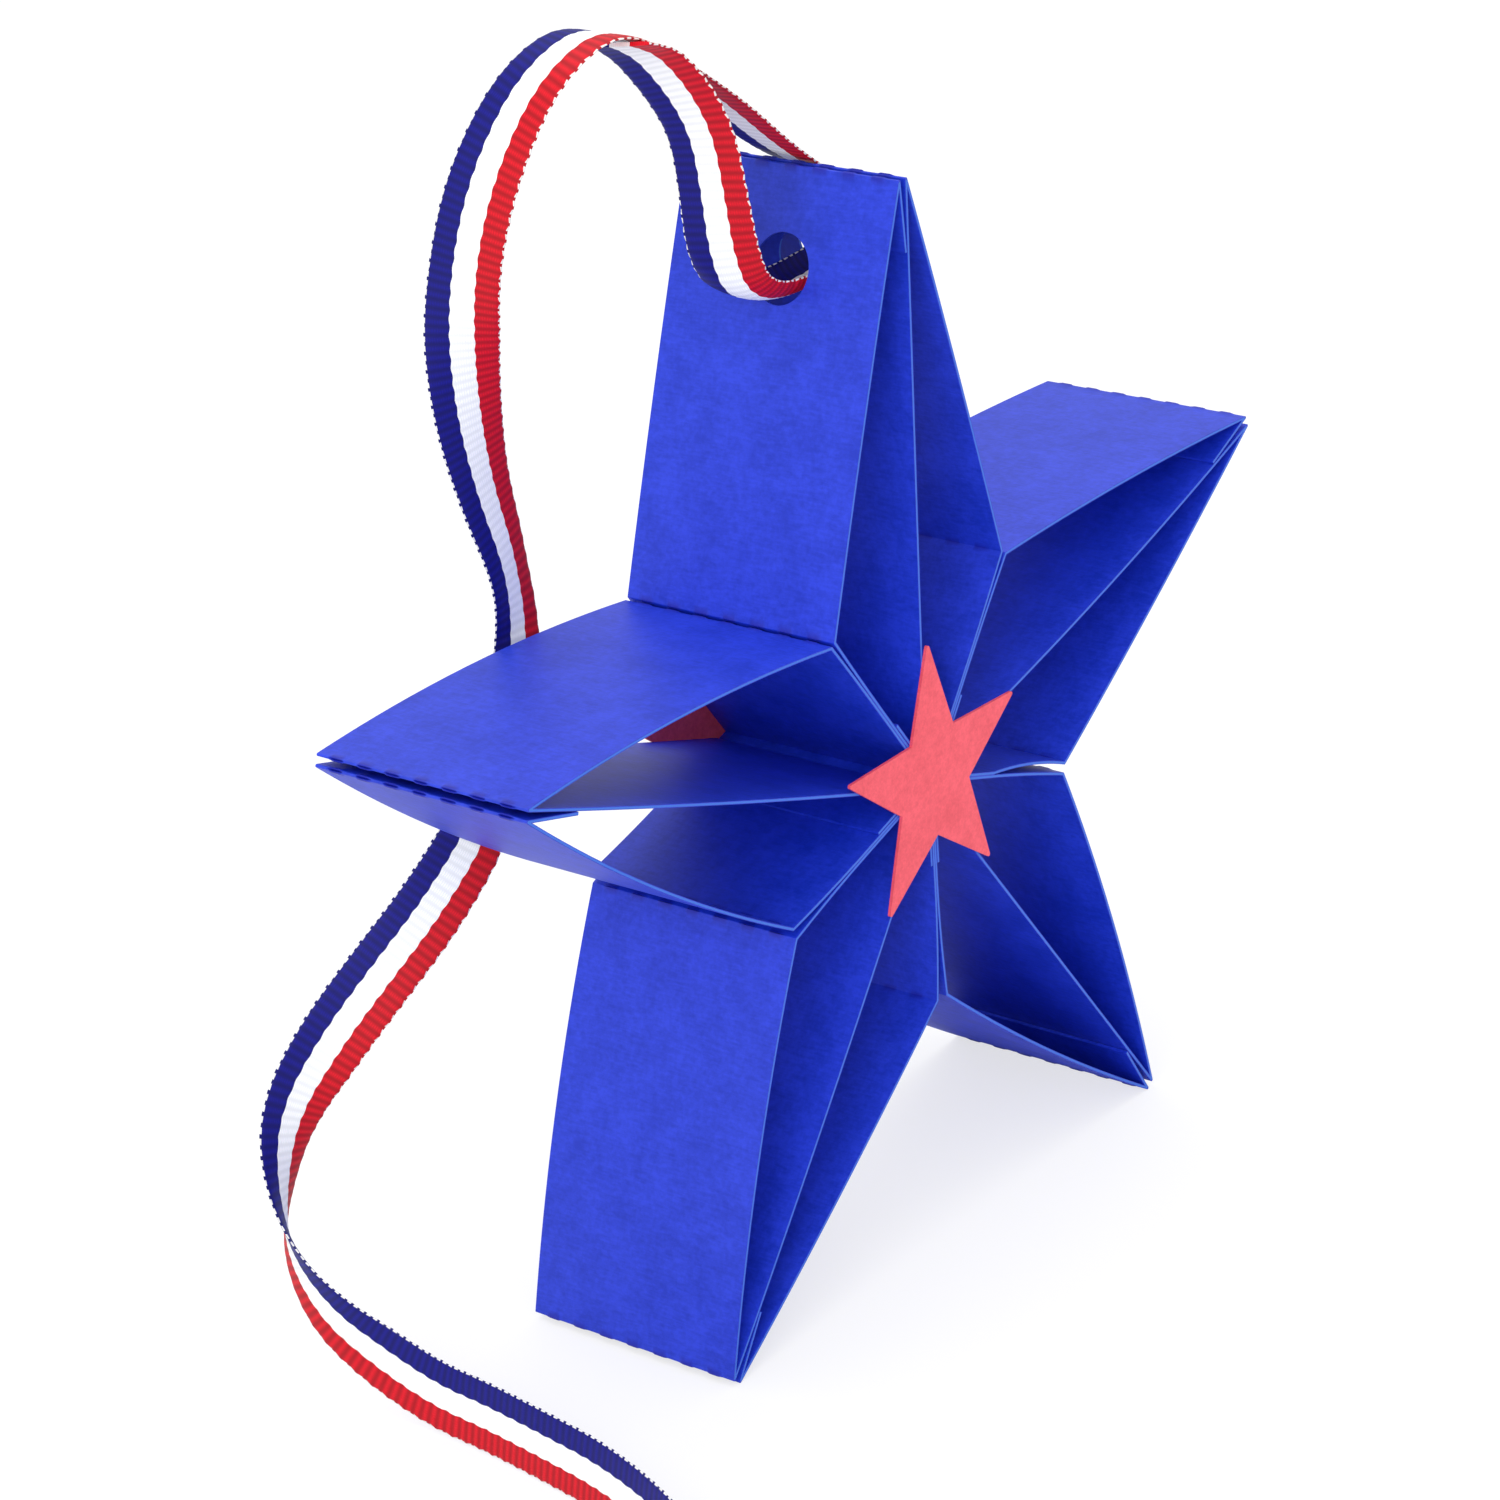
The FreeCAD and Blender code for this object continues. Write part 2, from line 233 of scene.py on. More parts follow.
def card_material(name, colour, edge_colour, flat_axis):
    """Coloured card: mottled pulp and a fine fibre.

    Where an axis is given, the faces that look along it are cut edges and show the edge colour
    in the middle of the card, and painted shade darkens the card along the perforated creases.
    """
    material, tree, shader = new_material(name)
    coordinates = add(tree, "ShaderNodeTexCoord")
    place = coordinates.outputs["Object"]
    cloud = noise(tree, place, 260.0, 4.0)
    pulp = noise(tree, place, 1500.0, 5.0, 0.7)
    stretched = add(tree, "ShaderNodeMapping", {"Vector": place, "Scale": (1.0, 0.16, 1.0)})
    fibre = noise(tree, stretched.outputs[0], 3600.0, 2.0)
    tone = maths(tree, "ADD", maths(tree, "MULTIPLY", cloud, 0.35), maths(tree, "MULTIPLY", pulp, 0.4))
    tone = maths(tree, "ADD", tone, maths(tree, "MULTIPLY", fibre, 0.25))
    spread = ramp(tree, tone, ((0.4, 0.0), (0.6, 1.0)))
    dark = tuple(0.82 * channel for channel in colour) + (1,)
    pale = tuple(min(1.0, 1.12 * channel + 0.012) for channel in colour) + (1,)
    surface = blend(tree, spread, dark, pale)
    if flat_axis:
        # Painted shade: along the perforated creases the card is blended towards a deeper, darker blue
        crease_shade = add(tree, "ShaderNodeAttribute", attribute_name="crease_shade")
        crease_shade_colour = tuple(0.5 * channel * channel / max(colour) for channel in colour) + (1,)
        surface = blend(tree, maths(tree, "MULTIPLY", crease_shade.outputs["Fac"], 0.7), surface, crease_shade_colour)
        facing = add(tree, "ShaderNodeSeparateXYZ", {0: coordinates.outputs["Normal"]})
        along = maths(tree, "ABSOLUTE", facing.outputs[flat_axis])
        edge = maths(tree, "GREATER_THAN", along, 0.9)
        face = add(tree, "ShaderNodeAttribute", attribute_name="face")
        core = maths(tree, "LESS_THAN", maths(tree, "ABSOLUTE", face.outputs["Fac"]), 0.6)
        edge = maths(tree, "MULTIPLY", edge, core)
        surface = blend(tree, edge, surface, tuple(edge_colour) + (1,))
    tree.links.new(surface, shader.inputs["Base Color"])
    height = maths(tree, "ADD", maths(tree, "MULTIPLY", pulp, 0.6), maths(tree, "MULTIPLY", fibre, 0.4))
    bump = add(tree, "ShaderNodeBump", {"Height": height, "Strength": 0.25, "Distance": 0.00004})
    tree.links.new(bump.outputs[0], shader.inputs["Normal"])
    shader.inputs["Roughness"].default_value = 0.5
    shader.inputs["Specular IOR Level"].default_value = 0.5
    return material


def ribbon_material(settings):
    """Ribbed ribbon in three stripes. U counts ribs along it and V runs across, navy edge at 0."""
    material, tree, shader = new_material("ribbed_ribbon")
    coordinates = add(tree, "ShaderNodeUVMap", uv_map="weave")
    split = add(tree, "ShaderNodeSeparateXYZ", {0: coordinates.outputs[0]})
    along, across = split.outputs[0], split.outputs[1]
    sway = maths(tree, "SINE", maths(tree, "MULTIPLY", along, math.pi))
    border = maths(tree, "ADD", across, maths(tree, "MULTIPLY", sway, 0.007))
    white = maths(tree, "GREATER_THAN", border, settings.navy_share)
    red = maths(tree, "GREATER_THAN", border, settings.navy_share + settings.white_share)
    colour = blend(tree, white, tuple(settings.navy_colour) + (1,), tuple(settings.white_colour) + (1,))
    colour = blend(tree, red, colour, tuple(settings.red_stripe_colour) + (1,))

    # Painted shade darkens each stripe between its ribs, and painted highlights show as short paler dashes
    # on the warp threads
    back = maths(tree, "COSINE", maths(tree, "MULTIPLY", along, 2 * math.pi))
    back = maths(tree, "MULTIPLY_ADD", back, 0.5, 0.5)
    weft = maths(tree, "SINE", maths(tree, "MULTIPLY", across, 2 * math.pi * settings.threads))
    weft = maths(tree, "MULTIPLY_ADD", weft, 0.5, 0.5)
    uneven = add(tree, "ShaderNodeCombineXYZ", {0: maths(tree, "MULTIPLY", along, 0.7),
                                                1: maths(tree, "MULTIPLY", across, settings.threads)})
    uneven = noise(tree, uneven.outputs[0], 1.0, 2.0)
    # Painted highlight: short dashes on each rib's back, also used as the bump's height
    glint = maths(tree, "MULTIPLY", maths(tree, "MULTIPLY", back, weft), uneven)
    plain = maths(tree, "SUBTRACT", white, red)
    shade = maths(tree, "MULTIPLY_ADD", plain, WHITE_GROOVE_SHADE - STRIPE_GROOVE_SHADE, STRIPE_GROOVE_SHADE)
    # Painted shade: the colour is darkened between the ribs, far less on the white stripe
    groove_shade = maths(tree, "MULTIPLY", maths(tree, "SUBTRACT", 1.0, back), shade)
    tint = blend(tree, 1.0, colour, maths(tree, "SUBTRACT", 1.0, groove_shade), "MULTIPLY")
    # Painted highlight: the colour lifted by the glint gain and mixed in along the dashes
    glint_colour = blend(tree, 1.0, tint, (GLINT, GLINT, GLINT, 1), "MULTIPLY")
    tint = blend(tree, maths(tree, "MULTIPLY", glint, 0.9), tint, glint_colour)

    # Loops of undyed weft show along both selvages, one to each rib and every other one further in
    rim = maths(tree, "ABSOLUTE", maths(tree, "SUBTRACT", across, 0.5))
    rim = maths(tree, "ADD", rim, maths(tree, "MULTIPLY", sway, 0.006))
    rim = maths(tree, "GREATER_THAN", rim, 0.484)
    loops = maths(tree, "MULTIPLY", rim, maths(tree, "GREATER_THAN", back, 0.35))
    tint = blend(tree, loops, tint, (0.85, 0.84, 0.82, 1))
    tree.links.new(tint, shader.inputs["Base Color"])
    bump = add(tree, "ShaderNodeBump", {"Height": glint, "Strength": 0.3, "Distance": 0.00005})
    tree.links.new(bump.outputs[0], shader.inputs["Normal"])
    shader.inputs["Roughness"].default_value = 0.55
    shader.inputs["Specular IOR Level"].default_value = 0.25
    return material


# Folded strips

def wall_points(side, opening):
    """Direction of a wall, the end of its glued stretch and its outer end, seen along the strip."""
    direction = np.array([math.cos(HALF_WEDGE), side * math.sin(HALF_WEDGE)])
    inward = np.array([math.sin(HALF_WEDGE), -side * math.cos(HALF_WEDGE)])
    return (direction, direction * GLUED_WALL + inward * CARD / 2,
            direction * NOTCH_RADIUS + inward * (CARD / 2 + opening))


def easing(direction, glued, notch):
    """Rise of the arc in which a wall leaves its glued stretch without a kink."""
    chord = notch - glued
    length = np.linalg.norm(chord)
    return length / 2 * math.tan(math.acos(min(1.0, chord @ direction / length)) / 2)


def strip_runs(tab_side, tip_reach, tip_lean, panel_bow, mid_bow, opening, wall_bow):
    """The nine runs of a strip from tab to tab: start, end, rise to the left and rows."""
    lower = wall_points(-1, opening[0])
    upper = wall_points(1, opening[1])
    near, far = (upper, lower) if tab_side > 0 else (lower, upper)
    near_side, far_side = (1, 0) if tab_side > 0 else (0, 1)
    direction, glued, notch = near
    _, far_glued, far_notch = far
    centre = np.array([CARD / 2 / math.sin(HALF_WEDGE), 0.0])
    lean = math.radians(tip_lean)
    reach = TIP_RADIUS + tip_reach - CARD / 2
    tip = np.array([reach * math.cos(lean), reach * math.sin(lean)])
    half = np.array([0.0, tab_side * NOSE_SPACING / 2])
    nose, far_nose = tip + half, tip - half
    layer = CARD + GLUE_FILM
    foot = centre + np.array([layer / math.sin(HALF_WEDGE), 0.0]) + direction * FOOT_SHIFT
    length = np.linalg.norm(far_nose - foot)
    share = TAB / length
    along = (foot - far_nose) / length
    across = np.array([-along[1], along[0]]) * -tab_side
    sag = 4 * mid_bow * tab_side * share * (1 - share)
    return [
        (foot + direction * TAB, foot, 0, 6),
        (foot, far_nose, mid_bow, 26),
        (far_nose, far_notch, tab_side * panel_bow[far_side], 26),
        (far_notch, far_glued, tab_side * (easing(*far) - wall_bow[far_side]), 16),
        (far_glued, centre, 0, 4),
        (centre, glued, 0, 4),
        (glued, notch, tab_side * (easing(*near) - wall_bow[near_side]), 16),
        (notch, nose, tab_side * panel_bow[near_side], 26),
        (nose, far_nose + along * TAB + across * (layer + sag), 0, 8),
    ]


def strip_rows(runs, hole_at):
    """Rows along a strip: place, left normal, distance from the nearest fold, turn there, run.

    A run is its chord plus 4 rise t (1 - t) to the left, in rows that crowd towards its ends.
    At a fold the rows stay in place while the normal swings round, which lays the arc outside.
    """
    place, normal, fold, run_of = [], [], [], []
    for index, (start, end, rise, count) in enumerate(runs):
        chord = end - start
        length = np.linalg.norm(chord)
        t = (1 - np.cos(np.linspace(0, math.pi, count))) / 2
        if hole_at and index in (1, 2, 7):
            nearby = np.arange(hole_at - 3.6, hole_at + 3.6, 0.3) / length
            t = np.unique(np.concatenate([t, nearby if index == 2 else 1 - nearby]))
        left = np.array([-chord[1], chord[0]]) / length
        line = start + chord * t[:, None] + left * (4 * rise * t * (1 - t))[:, None]
        tangent = chord + left * (4 * rise * (1 - 2 * t))[:, None]
        tangent /= np.linalg.norm(tangent, axis=1)[:, None]
        square = np.stack([-tangent[:, 1], tangent[:, 0]], 1)
        if index:
            before, after = normal[-1][-1], square[0]
            turn = math.atan2(before[0] * after[1] - before[1] * after[0], before @ after)
            swing = np.linspace(0, turn, FAN + 2)[1:-1]
            cosine, sine = np.cos(swing), np.sin(swing)
            place.append(np.repeat(start[None], FAN, 0))
            normal.append(np.stack([cosine * before[0] - sine * before[1],
                                    sine * before[0] + cosine * before[1]], 1))
            fold.append((start, turn, before, after))
            run_of.append(np.full(FAN, -index))
        place.append(line)
        normal.append(square)
        run_of.append(np.full(len(t), index))
    return np.concatenate(place), np.concatenate(normal), fold, np.concatenate(run_of)


def strip_mesh(name, shape, material):
    """One folded strip of card as a closed mesh, with its perforated folds and its hole.

    Rows run along the strip and columns across its depth. Each side is the middle place plus
    or minus half the card along the normal. Inside a fold it stops at the mitre point. At a
    perforated fold the outside swells by a pulse in each slit and sinks in a line at its crown.
    """
    turn, *measures = shape
    has_hole = name == "arm_top"
    place, normal, folds, run_of = strip_rows(strip_runs(*measures), HOLE_BELOW_TIP if has_hole else 0)
    depth = np.linspace(-DEPTH / 2, DEPTH / 2, COLUMNS)
    cosine = np.cos(2 * math.pi * depth / SLIT_PITCH)
    slit = 1 / (1 + np.exp(-14 * (cosine - math.cos(math.pi * SLIT_LENGTH / SLIT_PITCH))))
    slit *= np.abs(depth) < DEPTH / 2 - 0.6
    grid = np.repeat(place[:, None], len(depth), 1)
    crease_shade = np.zeros(grid.shape[:2])
    swell = {1: np.zeros(grid.shape[:2]), -1: np.zeros(grid.shape[:2])}
    mitred = {1: [], -1: []}
    for number, (corner, angle, before, after) in enumerate(folds, 1):
        side = 1 if angle > 0 else -1
        middle = (before + after) / np.linalg.norm(before + after)
        mitre = corner + side * middle * (CARD / 2 / math.cos(angle / 2))
        away = np.linalg.norm(place - corner, axis=1)
        beside = (np.abs(run_of) == number) | (run_of == number - 1)
        within = beside & (away < CARD / 2 * math.tan(abs(angle) / 2) + 1e-6)
        mitred[side].append((within | (run_of == -number), mitre))
        if number in PERFORATED:
            close = np.where(beside, np.exp(-(away / SWELL_REACH) ** 2), 0)[:, None] * slit[None]
            crown = np.zeros(len(place))
            rows = np.where(run_of == -number)[0]
            crown[rows[FAN // 2 - 1:FAN // 2 + 2]] = (0.6, 1, 0.6)
            swell[-side] += close * SLIT_SWELL - crown[:, None] * slit[None] * SLIT_GROOVE
            # Painted shade along the perforated crease, kept per point for the card's colour
            wide = np.where(beside, np.exp(-(away / CREASE_SHADE_REACH) ** 2), 0)[:, None]
            crease_shade = np.maximum(crease_shade, wide * slit[None])

    cut = np.zeros((len(place) - 1, len(depth) - 1), bool)
    if has_hole:
        hole = np.array([TIP_RADIUS - HOLE_BELOW_TIP, -HOLE_FORWARD])
        from_hole = np.stack([grid[..., 0] - hole[0], np.broadcast_to(depth, crease_shade.shape) - hole[1]], -1)
        radius = np.linalg.norm(from_hole, axis=-1)
        inside = (radius < HOLE_RADIUS) & np.isin(run_of, (1, 2, 7))[:, None]
        cut = inside[:-1, :-1] & inside[1:, :-1] & inside[:-1, 1:] & inside[1:, 1:]
        outward = from_hole * (HOLE_RADIUS / np.maximum(radius, 1e-6) - 1)[..., None] * inside[..., None]
        tangent = np.stack([normal[:, 1], -normal[:, 0]], 1)
        along = outward[..., 0] / np.where(np.abs(tangent[:, 0]) < 0.1, 1, tangent[:, 0])[:, None]
        grid = grid + tangent[:, None] * along[..., None]
        across = np.broadcast_to(depth, crease_shade.shape) + outward[..., 1]
    else:
        across = np.broadcast_to(depth, crease_shade.shape)

    sheets = []
    spin = math.radians(turn)
    for side in (1, -1):
        sheet = grid + side * normal[:, None] * (CARD / 2 + swell[side])[..., None]
        for rows, mitre in mitred[side]:
            sheet[rows] = mitre
        x = sheet[..., 0] * math.cos(spin) - sheet[..., 1] * math.sin(spin)
        z = sheet[..., 0] * math.sin(spin) + sheet[..., 1] * math.cos(spin)
        sheets.append(np.stack([x, across, z + CENTRE_HEIGHT], -1) * MM)
    vertices = np.concatenate([sheet.reshape(-1, 3) for sheet in sheets])

    rows, columns = crease_shade.shape
    number = np.arange(rows * columns).reshape(rows, columns)
    other = number + rows * columns
    kept = ~cut
    quads = [np.stack([n[:-1, :-1], n[1:, :-1], n[1:, 1:], n[:-1, 1:]], -1)[kept] for n in (number, other)]
    for edge in (number[:, 0], number[:, -1], number[0], number[-1]):
        far = edge + rows * columns
        quads.append(np.stack([edge[:-1], edge[1:], far[1:], far[:-1]], -1))
    down, up = np.where(cut[1:] != cut[:-1])
    quads.append(rim(number[down + 1, up], number[down + 1, up + 1], rows * columns))
    down, up = np.where(cut[:, 1:] != cut[:, :-1])
    quads.append(rim(number[down, up + 1], number[down + 1, up + 1], rows * columns))
    faces = np.concatenate(quads)

    mesh = bpy.data.meshes.new(name + "_card")
    mesh.from_pydata(vertices.tolist(), [], faces.tolist())
    layer = mesh.attributes.new("crease_shade", "FLOAT", "POINT")
    layer.data.foreach_set("value", np.concatenate([crease_shade.ravel(), crease_shade.ravel()]))
    layer = mesh.attributes.new("face", "FLOAT", "POINT")
    layer.data.foreach_set("value", np.repeat([1.0, -1.0], crease_shade.size))
    shell = bmesh.new()
    shell.from_mesh(mesh)
    bmesh.ops.remove_doubles(shell, verts=shell.verts, dist=1e-6)
    loose = [vertex for vertex in shell.verts if not vertex.link_faces]
    bmesh.ops.delete(shell, geom=loose, context="VERTS")
    bmesh.ops.recalc_face_normals(shell, faces=shell.faces)
    shell.to_mesh(mesh)
    shell.free()
    mesh.materials.append(material)
    mesh.shade_smooth()
    mesh.set_sharp_from_angle(angle=math.radians(40))
    piece = bpy.data.objects.new(name + "_card", mesh)
    bpy.context.scene.collection.objects.link(piece)
    return piece


def rim(first, second, shift):
    """Quads that join the edges first to second of one sheet to the same edges of the other."""
    return np.stack([first, second, second + shift, first + shift], -1)


# Ribbon

def smooth_rows(rows, reach):
    """Rows averaged with their neighbours by a bell curve of the given reach in rows."""
    span = np.arange(-3 * reach, 3 * reach + 1)
    weights = np.exp(-0.5 * (span / reach) ** 2)
    weights /= weights.sum()
    padded = np.concatenate([np.repeat(rows[:1], 3 * reach, 0), rows, np.repeat(rows[-1:], 3 * reach, 0)])
    return np.stack([np.convolve(padded[:, k], weights, "valid") for k in range(rows.shape[1])], 1)


def course():
    """The smooth line through the ribbon's course, as places at even steps."""
    curve = bpy.data.curves.new("ribbon_course", "CURVE")
    curve.dimensions = "3D"
    spline = curve.splines.new("NURBS")
    spline.points.add(len(RIBBON) - 1)
    for point, (place, _, _) in zip(spline.points, RIBBON):
        point.co = (*(Vector(place) * MM), 1.0)
    spline.order_u = 3
    spline.use_endpoint_u = True
    spline.resolution_u = 24
    carrier = bpy.data.objects.new("ribbon_course", curve)
    mesh = bpy.data.meshes.new_from_object(carrier)
    line = np.empty(len(mesh.vertices) * 3)
    mesh.vertices.foreach_get("co", line)
    bpy.data.objects.remove(carrier)
    bpy.data.curves.remove(curve)
    bpy.data.meshes.remove(mesh)
    return line.reshape(-1, 3)


def ribbon_mesh(settings, material):
    """The ribbon as a closed band carried along its course.

    At distance s and share v across, the place is the course, plus the width direction times
    v of the width, plus the lift of the curl. Half the thickness is laid on each face along
    the normal, swollen by a rib once every pitch, and it thins to a round at the two edges.
    """
    line = course()
    steps = np.linalg.norm(np.diff(line, axis=0), axis=1)
    reached = np.concatenate([[0], np.cumsum(steps)])
    per_rib = 4
    count = int(reached[-1] / settings.rib_pitch) * per_rib + 1
    s = np.linspace(0, reached[-1], count)
    place = np.stack([np.interp(s, reached, line[:, k]) for k in range(3)], 1)
    tangent = smooth_rows(np.gradient(place, axis=0), 4)
    tangent /= np.linalg.norm(tangent, axis=1)[:, None]

    corners = np.array([row[0] for row in RIBBON]) * MM
    nearest = [int(np.argmin(np.linalg.norm(line - corner, axis=1))) for corner in corners]
    stations = reached[np.maximum.accumulate(nearest)]
    stations[0], stations[-1] = 0, reached[-1]
    wide = np.array([row[1] for row in RIBBON])
    curl = np.array([row[2] for row in RIBBON], float)
    width = smooth_rows(np.stack([np.interp(s, stations, wide[:, k]) for k in range(3)], 1), 10)
    curl = smooth_rows(np.interp(s, stations, curl)[:, None], 10)[:, 0]
    width -= tangent * np.sum(width * tangent, axis=1)[:, None]
    width /= np.linalg.norm(width, axis=1)[:, None]
    lift = np.cross(width, tangent)

    columns = 18
    v = -np.cos(np.linspace(0, math.pi, columns + 1)) * 0.35 + np.linspace(-1, 1, columns + 1) * 0.65
    half = v[None, :] / 2
    phase = 2 * math.pi * s / settings.rib_pitch
    sway = -0.04 * MM * np.sin(phase / 2)[:, None] * v[None, :] ** 2
    bend = np.maximum(CURL_ANGLE * curl, 1e-3)[:, None]
    radius = settings.ribbon_width / bend
    angle = half * bend
    sideways = radius * np.sin(angle) + sway
    rise = radius * (1 - np.cos(angle))
    middle = place[:, None] + width[:, None] * sideways[..., None] + lift[:, None] * rise[..., None]
    normal = lift[:, None] * np.cos(angle)[..., None] - width[:, None] * np.sin(angle)[..., None]
    rib = 0.025 * MM * (0.5 + 0.5 * np.cos(phase))
    edge = np.sqrt(np.maximum(0, 1 - np.abs(v) ** 8)) * 0.75 + 0.25
    depth = (settings.ribbon_thickness / 2 - 0.02 * MM + rib[:, None]) * edge[None, :]
    top = middle + normal * depth[..., None]
    bottom = middle - normal * depth[..., None]
    ring = np.concatenate([top, bottom[:, ::-1]], axis=1)
    around = ring.shape[1]
    vertices = ring.reshape(-1, 3)

    row = np.arange(count - 1)[:, None] * around
    column = np.arange(around)[None, :]
    following = (column + 1) % around
    faces = np.stack([row + column, row + around + column, row + around + following, row + following], -1)
    faces = faces.reshape(-1, 4)
    lower = np.arange(columns)
    start_cap = np.stack([lower, lower + 1, around - 2 - lower, around - 1 - lower], -1)
    end_cap = (start_cap + (count - 1) * around)[:, ::-1]
    faces = np.concatenate([faces, start_cap, end_cap])
    piece = put_mesh("ribbon_band", vertices, faces, material, angle=70.0)

    across = np.concatenate([v, v[::-1]]) * 0.5 + 0.5
    uv = np.stack(np.broadcast_arrays((s / settings.rib_pitch)[:, None], across[None, :]), -1).reshape(-1, 2)
    mesh = piece.data
    layer = mesh.uv_layers.new(name="weave")
    corner_vertex = np.empty(len(mesh.loops), dtype=np.int32)
    mesh.loops.foreach_get("vertex_index", corner_vertex)
    layer.data.foreach_set("uv", uv[corner_vertex].ravel())
    return piece, place[::per_rib]


# Settings and operators

class StarBoxSettings(bpy.types.PropertyGroup):
    """Sizes and colours that a user would change."""
    card_colour: bpy.props.FloatVectorProperty(
        name="Card", description="Colour of the folded strips", subtype="COLOR", size=3,
        min=0, max=1, default=(0.002, 0.032, 0.6))
    card_edge_colour: bpy.props.FloatVectorProperty(
        name="Card edge", description="Colour of the card's cut edges", subtype="COLOR", size=3,
        min=0, max=1, default=(0.03, 0.15, 0.72))
    star_colour: bpy.props.FloatVectorProperty(
        name="Card star", description="Colour of the two small card stars", subtype="COLOR", size=3,
        min=0, max=1, default=(1.0, 0.09, 0.13))
    navy_colour: bpy.props.FloatVectorProperty(
        name="Navy stripe", description="Colour of the ribbon's first stripe", subtype="COLOR", size=3,
        min=0, max=1, default=(0.004, 0.004, 0.2))
    white_colour: bpy.props.FloatVectorProperty(
        name="White stripe", description="Colour of the ribbon's middle stripe", subtype="COLOR", size=3,
        min=0, max=1, default=(0.9, 0.92, 0.92))
    red_stripe_colour: bpy.props.FloatVectorProperty(
        name="Red stripe", description="Colour of the ribbon's last stripe", subtype="COLOR", size=3,
        min=0, max=1, default=(0.62, 0.004, 0.015))
    ribbon_width: bpy.props.FloatProperty(
        name="Ribbon width", description="Width of the ribbon", unit="LENGTH", default=6.35 * MM)
    ribbon_thickness: bpy.props.FloatProperty(
        name="Ribbon thickness", description="Thickness of the ribbon", unit="LENGTH", default=0.35 * MM)
    rib_pitch: bpy.props.FloatProperty(
        name="Rib pitch", description="Distance from rib to rib along the ribbon", unit="LENGTH",
        default=0.8 * MM)
    navy_share: bpy.props.FloatProperty(
        name="Navy share", description="Share of the ribbon's width that is navy", default=0.335)
    white_share: bpy.props.FloatProperty(
        name="White share", description="Share of the ribbon's width that is white", default=0.33)
    threads: bpy.props.FloatProperty(
        name="Warp threads", description="Warp threads across the ribbon's width", default=29.0)


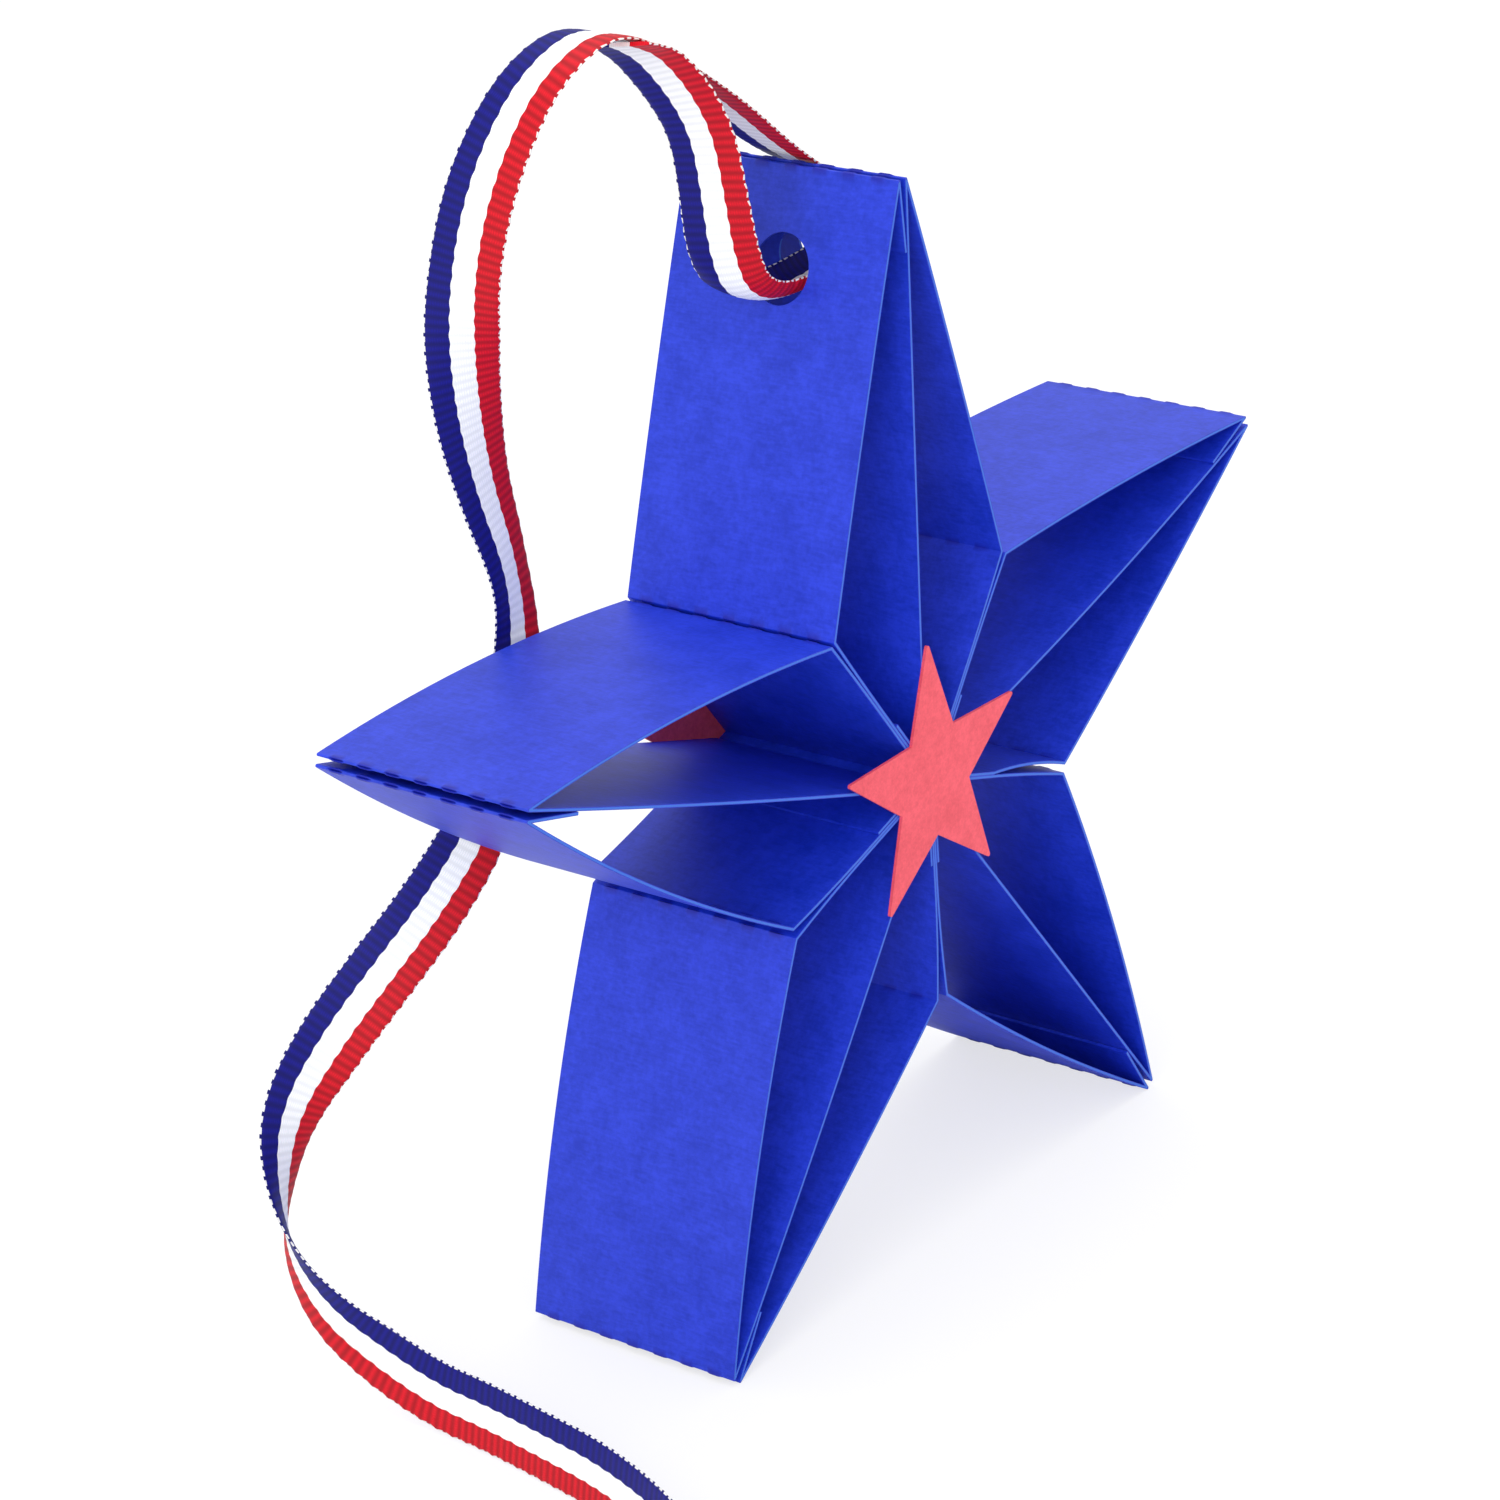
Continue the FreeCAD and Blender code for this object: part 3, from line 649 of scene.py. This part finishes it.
class STARBOX_OT_stage(bpy.types.Operator):
    """Make the pale floor, the soft light and the camera"""
    bl_idname = "starbox.stage"
    bl_label = "Build the stage"

    def execute(self, context):
        scene = context.scene
        scene.view_settings.view_transform = "Standard"
        self.make_camera(scene)
        self.make_floor(scene)
        self.make_light(scene)
        return {"FINISHED"}

    def make_camera(self, scene):
        """Camera on its sphere round the star's centre, moved sideways by the aim."""
        level = math.cos(CAMERA_ELEVATION)
        back = Vector((math.sin(CAMERA_AZIMUTH) * level, -math.cos(CAMERA_AZIMUTH) * level,
                       math.sin(CAMERA_ELEVATION)))
        side = Vector((0, 0, 1)).cross(back).normalized()
        head = back.cross(side)
        right = math.cos(CAMERA_ROLL) * side + math.sin(CAMERA_ROLL) * head
        up = math.cos(CAMERA_ROLL) * head - math.sin(CAMERA_ROLL) * side
        data = bpy.data.cameras.new("photo_camera")
        data.lens = LENS
        data.sensor_width = SENSOR
        camera = bpy.data.objects.new("photo_camera", data)
        turn = Matrix((right, up, back)).transposed().to_4x4()
        spot = CENTRE + CAMERA_DISTANCE * back - CAMERA_AIM[0] * right - CAMERA_AIM[1] * up
        camera.matrix_world = Matrix.Translation(spot) @ turn
        scene.collection.objects.link(camera)
        scene.camera = camera

    def make_floor(self, scene):
        """A flat floor that is white to the camera but keeps the object's shadow."""
        material, tree, shader = new_material("pale_floor")
        shader.inputs["Roughness"].default_value = 0.9
        path = add(tree, "ShaderNodeLightPath")
        seen = path.outputs["Is Camera Ray"]
        tone = blend(tree, seen, (0.8, 0.8, 0.8, 1), (0.34, 0.34, 0.34, 1))
        tree.links.new(tone, shader.inputs["Base Color"])
        lift = maths(tree, "MULTIPLY", seen, 0.68)
        shader.inputs["Emission Color"].default_value = (1, 1, 1, 1)
        tree.links.new(lift, shader.inputs["Emission Strength"])
        reach = 3.0
        corners = np.array([(-reach, -reach, 0), (reach, -reach, 0), (reach, reach, 0), (-reach, reach, 0)])
        floor = put_mesh("floor", corners, np.array([(0, 1, 2, 3)]), material, smooth=False)
        floor.location.z = -0.02 * MM

    def make_light(self, scene):
        """A white room with a large soft lamp at the left and another overhead."""
        world = bpy.data.worlds.new("white_room")
        world.use_nodes = True
        tree = world.node_tree
        path = add(tree, "ShaderNodeLightPath")
        strength = maths(tree, "MULTIPLY_ADD", path.outputs["Is Camera Ray"], 0.2, 0.8)
        tree.nodes["Background"].inputs[0].default_value = (1, 1, 1, 1)
        tree.links.new(strength, tree.nodes["Background"].inputs[1])
        scene.world = world
        for name, spot, size, power in (("left_lamp", (-0.65, -0.3, 0.35), 0.5, 2.4),
                                        ("top_lamp", (0.05, 0.1, 0.8), 0.7, 2.4)):
            data = bpy.data.lights.new(name, "AREA")
            data.size = size
            data.energy = power
            lamp = bpy.data.objects.new(name, data)
            lamp.location = spot
            lamp.rotation_euler = (CENTRE - Vector(spot)).to_track_quat("-Z", "Y").to_euler()
            scene.collection.objects.link(lamp)


class STARBOX_OT_card(bpy.types.Operator):
    """Give the folded strips and the card stars their card"""
    bl_idname = "starbox.card"
    bl_label = "Dress the card"

    def execute(self, context):
        settings = context.scene.star_box
        blue = card_material("blue_card", tuple(settings.card_colour), tuple(settings.card_edge_colour), "Y")
        red = card_material("red_card", tuple(settings.star_colour), (0, 0, 0), None)
        for name, *shape in ARMS:
            piece = strip_mesh(name, shape, blue)
            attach(piece, "root")
            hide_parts(name)
        for name in CARD_STARS:
            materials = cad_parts[name].data.materials
            materials.clear()
            materials.append(red)
        return {"FINISHED"}


class STARBOX_OT_ribbon(bpy.types.Operator):
    """Weave the striped ribbon along its course"""
    bl_idname = "starbox.ribbon"
    bl_label = "Build the ribbon"

    def execute(self, context):
        settings = context.scene.star_box
        piece, path = ribbon_mesh(settings, ribbon_material(settings))
        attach(piece, "root")
        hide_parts("ribbon")
        return {"FINISHED"}


class STARBOX_PT_panel(bpy.types.Panel):
    """Steps of the star box"""
    bl_idname = "STARBOX_PT_panel"
    bl_label = "Star Box"
    bl_space_type = "VIEW_3D"
    bl_region_type = "UI"
    bl_category = "Star Box"

    def draw(self, context):
        layout = self.layout
        for name in StarBoxSettings.__annotations__:
            layout.prop(context.scene.star_box, name)
        for operator in OPERATORS:
            layout.operator(operator.bl_idname)


OPERATORS = (STARBOX_OT_stage, STARBOX_OT_card, STARBOX_OT_ribbon)
CLASSES = (StarBoxSettings, *OPERATORS, STARBOX_PT_panel)


def register():
    """Registers the classes and the scene's settings."""
    for entry in CLASSES:
        bpy.utils.register_class(entry)
    bpy.types.Scene.star_box = bpy.props.PointerProperty(type=StarBoxSettings)


def unregister():
    """Takes the classes and the scene's settings away."""
    del bpy.types.Scene.star_box
    for entry in reversed(CLASSES):
        bpy.utils.unregister_class(entry)


def main():
    """Runs every step in order."""
    register()
    bpy.ops.starbox.stage()
    bpy.ops.starbox.card()
    bpy.ops.starbox.ribbon()


if __name__ == "__main__":
    main()
